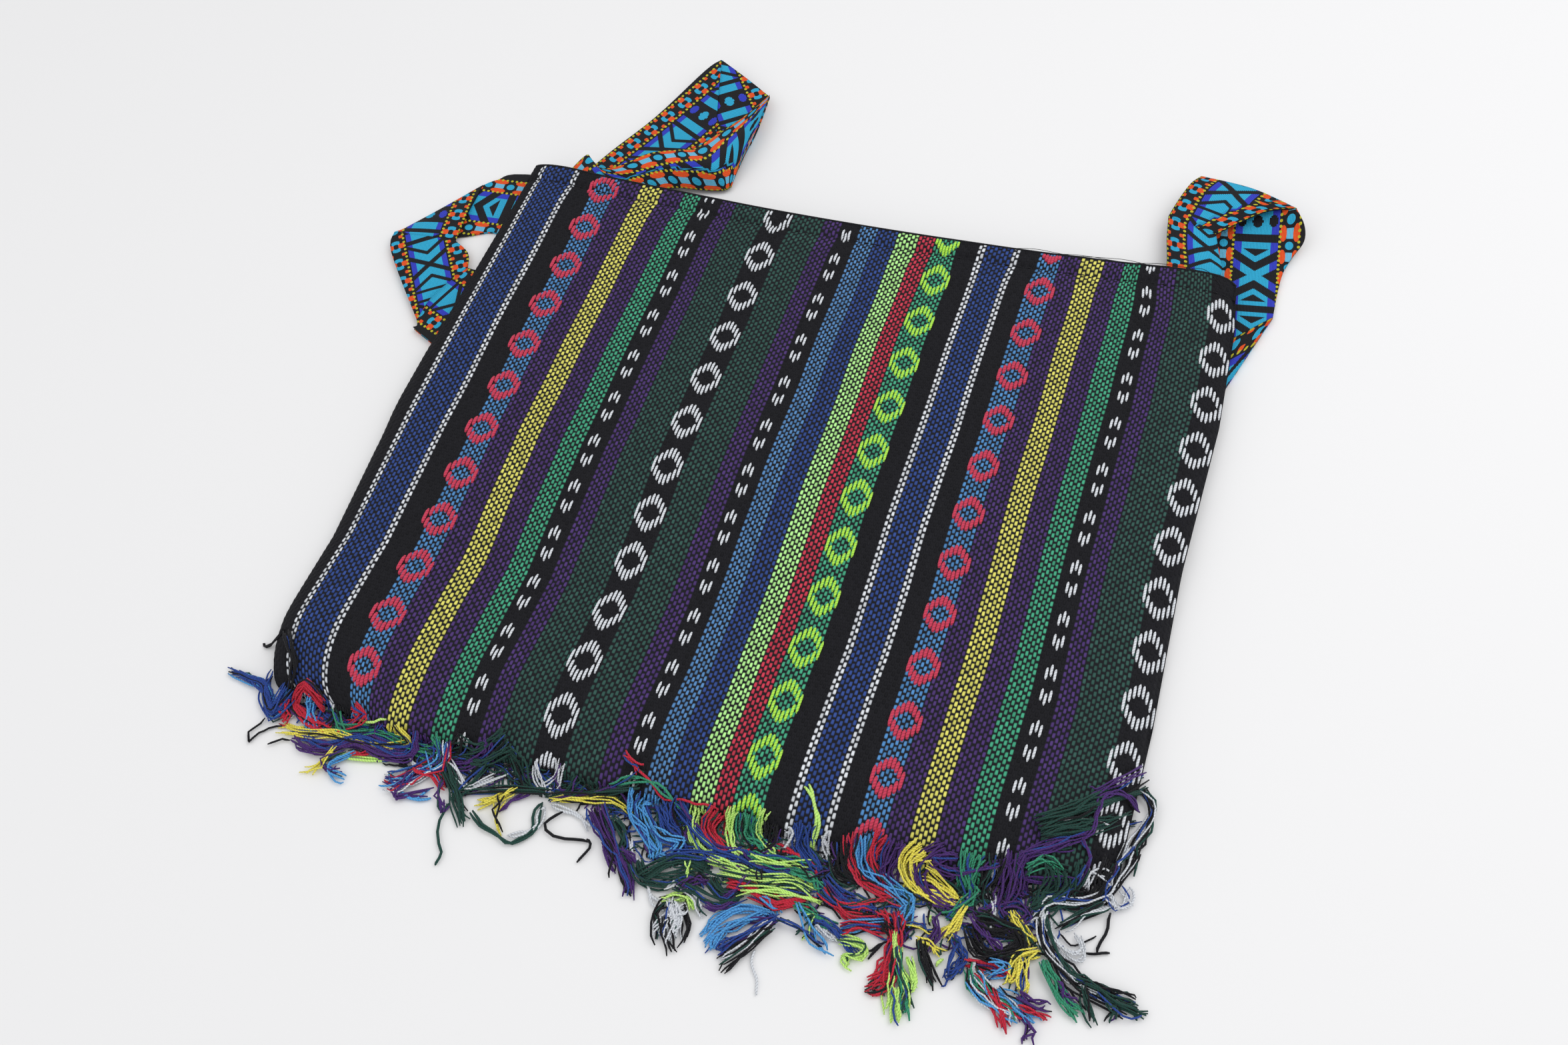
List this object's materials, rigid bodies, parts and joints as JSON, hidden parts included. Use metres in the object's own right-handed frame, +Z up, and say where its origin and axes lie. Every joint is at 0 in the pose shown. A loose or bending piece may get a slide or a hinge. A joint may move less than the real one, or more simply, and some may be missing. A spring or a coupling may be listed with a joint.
{
  "type": "woven shoulder bag",
  "caption": "Flat striped woven cotton shoulder bag lying on its back, with an open hemmed mouth, a patterned ribbon strap folded under it and a knotted yarn fringe along the foot.",
  "frame": {"origin": "middle of the bottom of the bounding box, on the floor the bag lies on", "axes": "+Z up, away from the floor; +Y along the stripes, from the fringe to the mouth; +X across the stripes to the right as seen from above"},
  "size_m": [0.3542, 0.3742, 0.0116],
  "materials": {
    "cloth": "coarse plain weave of coloured cotton warp on black weft, matt",
    "ribbon": "jacquard woven ribbon with a slight sheen",
    "fringe": "loose plied cotton yarn, matt"
  },
  "bodies": {
    "root": {"front_panel": "cloth", "back_panel": "cloth", "strap": "ribbon", "tassel_01": "fringe", "tassel_02": "fringe", "tassel_03": "fringe", "tassel_04": "fringe", "tassel_05": "fringe", "tassel_06": "fringe", "tassel_07": "fringe", "tassel_08": "fringe", "tassel_09": "fringe", "tassel_10": "fringe", "tassel_11": "fringe", "tassel_12": "fringe", "tassel_13": "fringe", "tassel_14": "fringe", "tassel_15": "fringe"}
  },
  "joints": []
}
